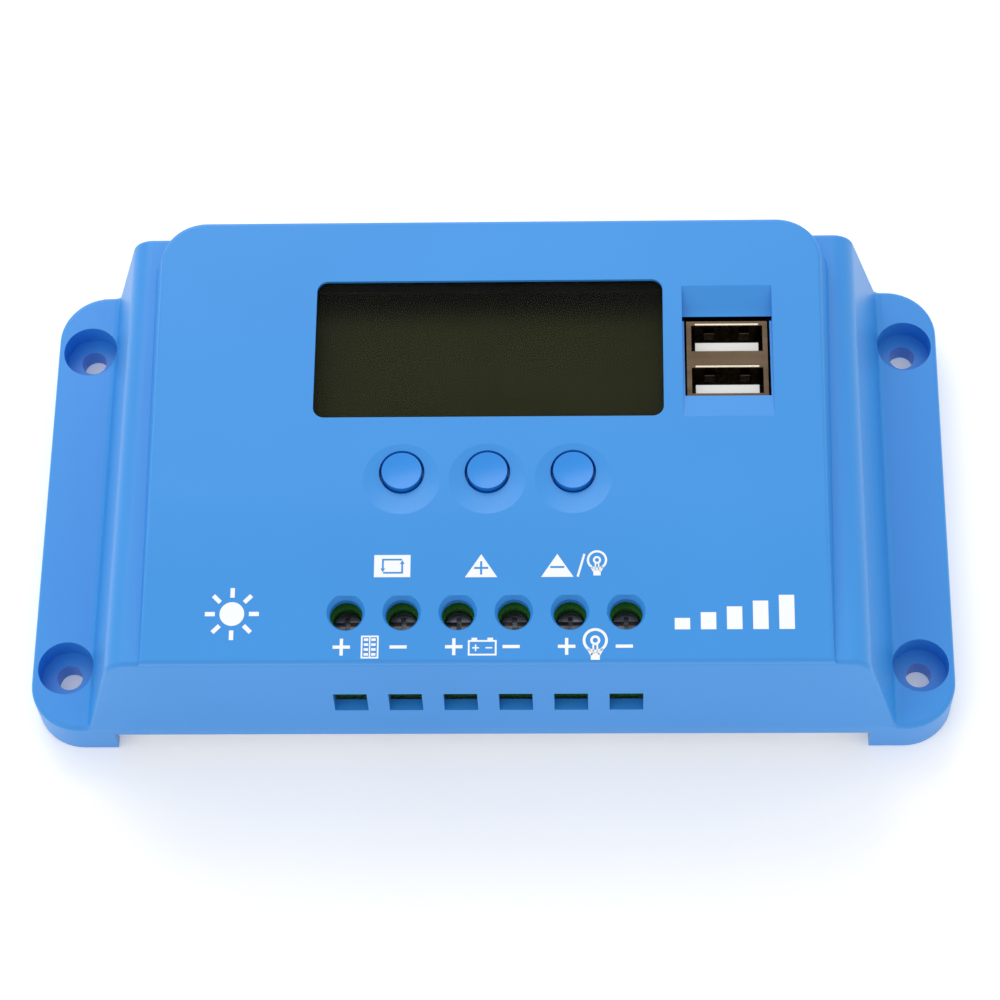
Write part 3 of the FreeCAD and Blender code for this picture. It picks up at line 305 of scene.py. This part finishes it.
def lens_material():
    """Clear sheet with a fine haze on it."""
    material = bpy.data.materials.new("smoked_lens")
    material.use_nodes = True
    tree = material.node_tree
    shader = tree.nodes["Principled BSDF"]
    place = tree.nodes.new("ShaderNodeTexCoord")
    haze = tree.nodes.new("ShaderNodeTexNoise")
    haze.inputs["Scale"].default_value = 90.0
    link(tree, place.outputs["Object"], haze.inputs["Vector"])
    cover = tree.nodes.new("ShaderNodeMapRange")
    cover.inputs["To Min"].default_value = 0.20
    cover.inputs["To Max"].default_value = 0.26
    link(tree, haze.outputs["Fac"], cover.inputs["Value"])
    link(tree, cover.outputs["Result"], shader.inputs["Alpha"])
    tint = tree.nodes.new("ShaderNodeMix")
    tint.data_type = "RGBA"
    tint.inputs["A"].default_value = (0.008, 0.009, 0.004, 1)
    tint.inputs["B"].default_value = (0.011, 0.012, 0.006, 1)
    link(tree, haze.outputs["Fac"], tint.inputs["Factor"])
    link(tree, tint.outputs["Result"], shader.inputs["Base Color"])
    shader.inputs["Roughness"].default_value = 0.35
    shader.inputs["Specular IOR Level"].default_value = 0.1
    return material


dress(cell_material(), "display_glass")
dress(lens_material(), "display_lens")
dress(plastic("clear_block", (0.80, 0.83, 0.78), (0.70, 0.74, 0.69), 0.25), "display_backlight")
black_moulding = plastic("black_moulding", (0.012, 0.012, 0.013), (0.008, 0.008, 0.009), 0.45)
dress(black_moulding, "display_frame", "switch_cases", *[f"switch_plunger_{key}" for key in range(1, 4)])


# ---------------------------------------------------------------- switches and buttons
# Three tactile switches on the display board, each with a spring-steel lid and snap dome. The button caps
# are moulded in the cover's kind of plastic, a little deeper in colour, and drop in from inside.
caps = ("menu_button", "plus_button", "minus_button")
dress(metal("spring_steel", (0.78, 0.78, 0.80), (0.58, 0.58, 0.60), 0.28), "switch_lids", "switch_domes")
dress(plastic("button_blue", (0.016, 0.255, 0.760), (0.014, 0.240, 0.730), 0.26, 2200.0, 0.15), *caps)
for cap in caps:
    soften(cap, 0.35 * mm, 3)


# ---------------------------------------------------------------- USB sockets
# Two type A sockets share one folded, nickel-plated shell on a small board of their own. White mouldings
# carry the gold contact strips. Each mouth has a rolled lip and two spring tabs that grip the plug.
nickel = metal("nickel_shell", (0.150, 0.108, 0.070), (0.085, 0.058, 0.036), 0.34, 500.0, 120.0)
dress(nickel, "usb_shell")
dress(plastic("white_moulding", (0.86, 0.86, 0.82), (0.78, 0.78, 0.74), 0.35, 1800.0, 0.2), "usb_tongues")

soften("usb_shell", 0.12 * mm)
soften("usb_tongues", 0.3 * mm, 3)

port_across = 41.8 * mm
port_mouth = 34.3 * mm
port_tops = (22.16 * mm, 13.76 * mm)


def steel_strip(name, width, depth, tall, place, lean=0.0):
    """A small bent strip of the shell's own sheet, leaning in degrees about X."""
    bpy.ops.mesh.primitive_cube_add(size=1, location=place, rotation=(math.radians(lean), 0, 0))
    strip = bpy.context.object
    strip.name = name
    strip.scale = (width, depth, tall)
    bpy.ops.object.transform_apply(location=True, rotation=True, scale=True)
    rolled = strip.modifiers.new("rolled_edges", "BEVEL")
    rolled.width = 0.08 * mm
    rolled.segments = 3
    bpy.ops.object.modifier_apply(modifier=rolled.name)
    return strip


# The rolled lips get a much lighter copy of the shell's nickel: a painted highlight along each mouth.
nickel_painted_highlight = metal("nickel_lip_highlight", (0.95, 0.88, 0.74), (0.72, 0.62, 0.48), 0.22, 700.0, 300.0)
for port, port_top in enumerate(port_tops):
    lip = steel_strip(f"port_lip_{port + 1}", 11.2 * mm, 0.34 * mm, 0.3 * mm,
                      (port_across, port_top + 0.12 * mm, port_mouth + 0.05 * mm))
    tabs = [steel_strip(f"spring_tab_{port + 1}_{side}", 1.8 * mm, 0.2 * mm, 3.2 * mm,
                        (port_across + side * 3.1 * mm, port_top - 0.55 * mm, port_mouth - 3.0 * mm), 9.0)
            for side in (-1, 1)]
    for strip, finish in ((lip, nickel_painted_highlight), (tabs[0], nickel), (tabs[1], nickel)):
        strip.data.materials.append(finish)
        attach(strip, "case")


# ---------------------------------------------------------------- top cover and its printing
# One moulding in blue polycarbonate blend with a fine satin texture. The signs are pad-printed in white
# ink after moulding; they are plain pictograms with no lettering.
cover_blue = (0.036, 0.285, 0.750)
cover_shade = (0.032, 0.270, 0.720)
dress(plastic("cover_blue", cover_blue, cover_shade, 0.34, 2200.0, 0.25), "top_cover")

plate_front = (-41.5 * mm, 32.8 * mm)
plate_bend = (-18.1 * mm, 35.4 * mm)
plate_slope = math.atan2(plate_bend[1] - plate_front[1], plate_bend[0] - plate_front[0])
ink_sheet = 0.06 * mm
cutter_sheet = 4 * ink_sheet


def stand(x, y):
    """Centre of an ink piece that is drawn flat at the origin's height."""
    return (x * mm, y * mm, 0)


def active(name):
    """Name the piece that an operator has just added."""
    piece = bpy.context.object
    piece.name = name
    return piece


def ink_bar(name, width, depth, x, y, turn=0.0, sheet=ink_sheet):
    """A flat bar, width by depth in millimetres, turned in degrees."""
    bpy.ops.mesh.primitive_cube_add(size=1, location=stand(x, y), rotation=(0, 0, math.radians(turn)))
    bar = active(name)
    bar.scale = (width * mm, depth * mm, sheet)
    bpy.ops.object.transform_apply(location=True, rotation=True, scale=True)
    return bar


def ink_disc(name, wide, x, y, sides=48, turn=0.0, sheet=ink_sheet):
    """A flat disc, or a regular polygon when it has few sides."""
    bpy.ops.mesh.primitive_cylinder_add(vertices=sides, radius=wide * mm / 2, depth=sheet,
                                        location=stand(x, y), rotation=(0, 0, math.radians(turn)))
    disc = active(name)
    bpy.ops.object.transform_apply(location=True, rotation=True, scale=True)
    return disc


def pierce(piece, *tools):
    """Cut the tools out of a piece."""
    for tool in tools:
        cutter = piece.modifiers.new("cut", "BOOLEAN")
        cutter.operation = "DIFFERENCE"
        cutter.object = tool
        cutter.solver = "EXACT"
        bpy.context.view_layer.objects.active = piece
        bpy.ops.object.modifier_apply(modifier=cutter.name)
        bpy.data.objects.remove(tool)
    return piece


def ink_ring(name, outer, inner, x, y):
    return pierce(ink_disc(name, outer, x, y), ink_disc(name + "_hole", inner, x, y, sheet=cutter_sheet))


def ink_frame(name, width, depth, line, x, y):
    hole = ink_bar(name + "_hole", width - 2 * line, depth - 2 * line, x, y, sheet=cutter_sheet)
    return pierce(ink_bar(name, width, depth, x, y), hole)


def ink_triangle(name, width, depth, x, y):
    """An upright triangle: a three-sided prism stretched to width and depth."""
    bpy.ops.mesh.primitive_cylinder_add(vertices=3, radius=1, depth=ink_sheet, location=(0, 0, 0))
    sign = active(name)
    sign.scale = (width * mm / math.sqrt(3), depth * mm / 1.5, 1)
    bpy.ops.object.transform_apply(location=True, rotation=True, scale=True)
    sign.location = stand(x, y - depth / 6)
    bpy.ops.object.transform_apply(location=True, rotation=True, scale=True)
    return sign


def plus_sign(name, wide, line, x, y):
    return [ink_bar(name + "_across", wide, line, x, y),
            ink_bar(name + "_up", line, (wide - line) / 2, x, y + (wide + line) / 4),
            ink_bar(name + "_down", line, (wide - line) / 2, x, y - (wide + line) / 4)]


def cut_plus(name, wide, line, x, y):
    return [ink_bar(name + "_across", wide, line, x, y, sheet=cutter_sheet),
            ink_bar(name + "_upright", line, wide, x, y, sheet=cutter_sheet)]


def bulb_sign(name, wide, x, y):
    """A lamp: a ring for the glass, a filament loop on two wires, and a solid cap."""
    line = 0.11 * wide
    globe_y = y + 0.14 * wide
    cap_y = y - 0.52 * wide
    pieces = [ink_ring(name + "_globe", wide, wide - 2 * line, x, globe_y),
              ink_ring(name + "_loop", 0.40 * wide, 0.20 * wide, x, globe_y),
              ink_bar(name + "_cap", 0.36 * wide, 0.28 * wide, x, cap_y)]
    for side in (-1, 1):
        pieces.append(ink_bar(f"{name}_wire{side}", 0.07 * wide, 0.36 * wide, x + side * 0.08 * wide,
                              globe_y - 0.36 * wide))
        pieces.append(ink_bar(f"{name}_neck{side}", line, 0.30 * wide, x + side * 0.21 * wide,
                              y - 0.33 * wide, turn=side * -28))
    return pieces


key_row = -24.5
pole_row = -38.8
ink = []
menu_x = -16.0
arrow_line = 0.32
arrow_left = -17.6
arrow_right = -14.3
menu_card = ink_bar("menu_card", 6.2, 3.95, menu_x, key_row)
menu_cuts = [ink_bar("menu_top", 3.3, arrow_line, menu_x, key_row + 1.15, sheet=cutter_sheet),
             ink_bar("menu_foot", 3.3, arrow_line, menu_x + 0.1, key_row - 1.2, sheet=cutter_sheet),
             ink_bar("menu_left", arrow_line, 1.9, arrow_left, key_row + 0.35, sheet=cutter_sheet),
             ink_bar("menu_right", arrow_line, 1.9, arrow_right, key_row - 0.4, sheet=cutter_sheet),
             ink_disc("menu_tip_down", 0.95, arrow_left, key_row - 0.65, 3, 180, cutter_sheet),
             ink_disc("menu_tip_up", 0.95, arrow_right, key_row + 0.6, 3, 0, cutter_sheet)]
ink.append(pierce(menu_card, *menu_cuts))
more_x = -0.85
less_x = 12.1
ink.append(pierce(ink_triangle("more_sign", 5.5, 4.1, more_x, key_row),
                  *cut_plus("more_cut", 2.4, 0.36, more_x, key_row - 0.4)))
ink.append(pierce(ink_triangle("less_sign", 5.5, 4.1, less_x, key_row),
                  ink_bar("less_cut", 2.4, 0.36, less_x, key_row - 0.3, sheet=cutter_sheet)))
ink.append(ink_bar("slash", 0.38, 4.2, 16.13, key_row, turn=-16))
ink += bulb_sign("load_key", 3.45, 18.84, key_row + 0.45)

for name, left, right in (("solar", -24.35, -14.74), ("battery", -5.34, 4.33), ("load", 13.68, 23.39)):
    ink += plus_sign(name + "_plus", 2.95, 0.56, left, pole_row)
    ink.append(ink_bar(name + "_minus", 2.9, 0.56, right, pole_row))

panel_x = -19.55
ink.append(ink_frame("panel_edge", 3.0, 4.0, 0.28, panel_x, pole_row))
ink.append(ink_bar("panel_spine", 0.22, 3.5, panel_x, pole_row))
for row in range(4):
    for side in (-1, 1):
        ink.append(ink_bar(f"panel_cell{row}{side}", 0.75, 0.45, panel_x + side * 0.63,
                           pole_row + 0.86 * (row - 1.5)))

battery_x = -0.54
battery_row = pole_row - 0.2
ink.append(ink_frame("battery_case", 4.85, 2.7, 0.3, battery_x, battery_row))
for side in (-1, 1):
    ink.append(ink_bar(f"battery_post{side}", 0.95, 0.42, battery_x + side * 1.35, pole_row + 1.35))
    ink.append(ink_bar(f"battery_sign{side}", 1.15, 0.24, battery_x + side * 1.12, battery_row))
    ink.append(ink_bar(f"battery_stroke{side}", 0.24, 0.455, battery_x - 1.12, battery_row + side * 0.3475))
ink += bulb_sign("load_lamp", 4.25, 18.5, pole_row + 0.45)

sun_x = -43.1
ray_reach = 3.75
level_x = 42.0
sign_row = -32.9
ink.append(ink_disc("sun", 4.2, sun_x, sign_row))
for ray in range(8):
    angle = math.radians(45 * ray)
    ink.append(ink_bar(f"ray{ray}", 1.7, 0.75, sun_x + ray_reach * math.cos(angle),
                       sign_row + ray_reach * math.sin(angle), turn=45 * ray))
for step in range(5):
    tall = 2.0 + 1.0 * step
    ink.append(ink_bar(f"level{step}", 2.6, tall, level_x + 4.4 * (step - 2), sign_row - 3.0 + tall / 2))

bpy.ops.object.select_all(action="DESELECT")
for piece in ink:
    piece.select_set(True)
bpy.context.view_layer.objects.active = ink[0]
bpy.ops.object.join()
printing = active("cover_printing")
stretch = Matrix.Diagonal((1, 1 / math.cos(plate_slope), 1, 1))
on_plate = (Matrix.Translation((0, plate_front[0], plate_front[1]))
            @ Matrix.Rotation(plate_slope, 4, "X") @ stretch @ Matrix.Translation((0, -plate_front[0], 0)))
printing.matrix_world = on_plate
bpy.ops.object.transform_apply(location=True, rotation=True, scale=True)
printing.data.materials.clear()
white_ink = plastic("white_ink", (0.93, 0.95, 0.96), (0.88, 0.91, 0.93), 0.5, 3000.0, 0.2)
printing.data.materials.append(white_ink)
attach(printing, "case")


# ---------------------------------------------------------------- floor, light and camera
# A pale table, a broad softbox low over the far side, and a weak fill from the near left.
# The camera looks down on the face from in front of the terminals, a little to the right.

def area_light(name, place, aim, wide, power):
    bpy.ops.object.light_add(type="AREA", location=place)
    light = active(name)
    light.data.shape = "SQUARE"
    light.data.size = wide
    light.data.energy = power
    direction = Vector(place) - Vector(aim)
    light.rotation_euler = direction.to_track_quat("Z", "Y").to_euler()
    return light


bpy.ops.mesh.primitive_plane_add(size=6, location=(0, 0, -0.2 * mm))
floor = active("floor")
floor.data.materials.append(plastic("pale_table", (0.93, 0.93, 0.93), (0.91, 0.91, 0.91), 0.8, 300.0, 0.0,
                                   Emission_Color=(1, 1, 1, 1), Emission_Strength=0.2))
softbox = area_light("softbox", (-0.3, 1.2, 1.0), (0, 0, 0), 1.2, 9)
fill = area_light("fill", (-0.9, -0.6, 1.0), (0, 0, 0), 0.8, 1.5)

world = bpy.data.worlds.new("studio")
bpy.context.scene.world = world
world.use_nodes = True
world.node_tree.nodes["Background"].inputs["Color"].default_value = (1, 1, 1, 1)
world.node_tree.nodes["Background"].inputs["Strength"].default_value = 0.85
bpy.context.scene.view_settings.view_transform = "Standard"

azimuth = math.radians(4.58)
elevation = math.radians(63.77)
roll = math.radians(-4.41)
reach = 0.54955
aim = Vector((1.64 * mm, -4.85 * mm, 20 * mm))
outward = Vector((math.sin(azimuth) * math.cos(elevation), -math.cos(azimuth) * math.cos(elevation),
                  math.sin(elevation)))
bpy.ops.object.camera_add(location=aim + outward * reach)
camera = active("camera")
camera.rotation_mode = "QUATERNION"
camera.rotation_quaternion = outward.to_track_quat("Z", "Y") @ Quaternion((0, 0, 1), roll)
camera.data.sensor_width = 36
camera.data.lens = 111.72
camera.data.clip_start = 0.01
bpy.context.scene.camera = camera
